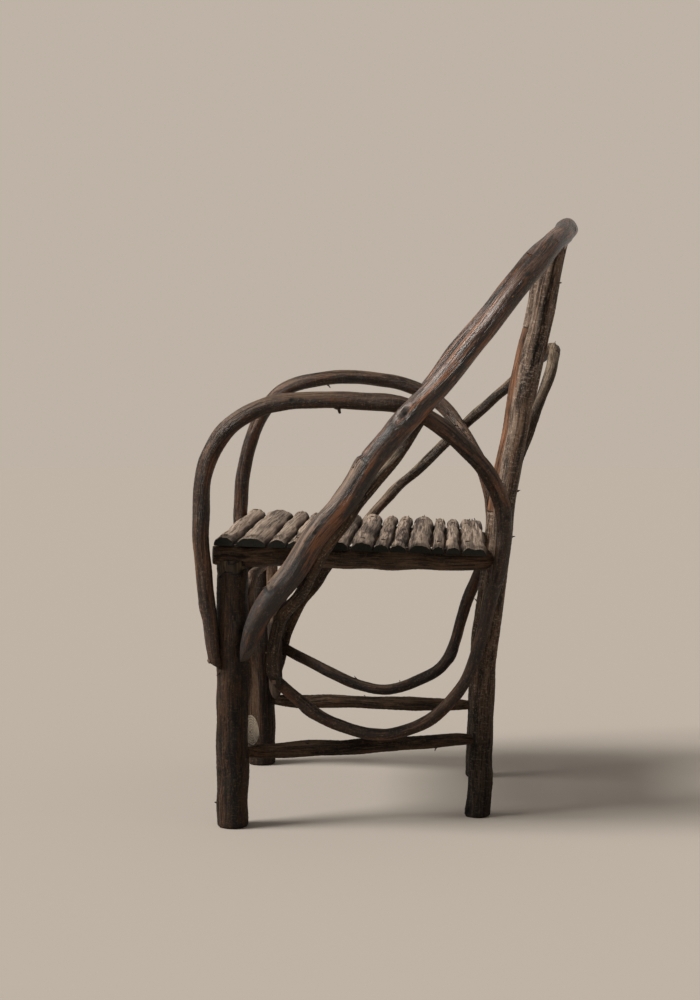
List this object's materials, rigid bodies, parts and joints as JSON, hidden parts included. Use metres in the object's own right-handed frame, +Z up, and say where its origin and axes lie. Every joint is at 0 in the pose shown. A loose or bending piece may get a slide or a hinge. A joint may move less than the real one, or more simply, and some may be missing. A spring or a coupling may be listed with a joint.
{
  "type": "twig armchair",
  "caption": "Rustic bentwood armchair of saplings and small logs: slatted seat, looped arms, raked bow back.",
  "frame": {"origin": "on the floor, in the middle of the chair's box", "axes": "+Z up, the chair faces -Y, the sitter's left is +X"},
  "size_m": [0.6024, 0.581, 0.9236],
  "materials": {
    "bow_bark": "semi-gloss bark, pale strips on the upper side",
    "arm_bark": "semi-gloss dark bark",
    "thin_bark": "satin dark bark",
    "arch_bark": "matte grey and brown bark, pale cut ends",
    "leg_bark": "matte rough bark",
    "post_wood": "matte peeled and grey wood",
    "rail_wood": "matte bark",
    "slat_wood": "matte weathered wood",
    "iron": "dull dark iron"
  },
  "bodies": {
    "root": {"back_bow": "bow_bark", "arm_hoop_left": "arm_bark", "arm_hoop_right": "arm_bark", "bow_strut": "thin_bark", "inner_back_hoop": "thin_bark", "front_arch": "arch_bark", "front_leg_left": "leg_bark", "front_leg_right": "leg_bark", "rear_post_left": "post_wood", "rear_post_right": "post_wood", "back_spindle_middle": "post_wood", "seat_side_rail_left": "rail_wood", "seat_side_rail_right": "rail_wood", "seat_front_rail": "rail_wood", "seat_rear_rail": "rail_wood", "side_stretcher_left": "rail_wood", "side_stretcher_right": "rail_wood", "rear_stretcher": "rail_wood", "seat_slat_01": "slat_wood", "seat_slat_02": "slat_wood", "seat_slat_03": "slat_wood", "seat_slat_04": "slat_wood", "seat_slat_05": "slat_wood", "seat_slat_06": "slat_wood", "seat_slat_07": "slat_wood", "seat_slat_08": "slat_wood", "seat_slat_09": "slat_wood", "seat_slat_10": "slat_wood", "seat_slat_11": "slat_wood", "seat_slat_12": "slat_wood", "seat_slat_13": "slat_wood", "slat_nails": "iron", "hoop_nails": "iron", "bow_nails": "iron", "brace_nails": "iron"}
  },
  "joints": []
}
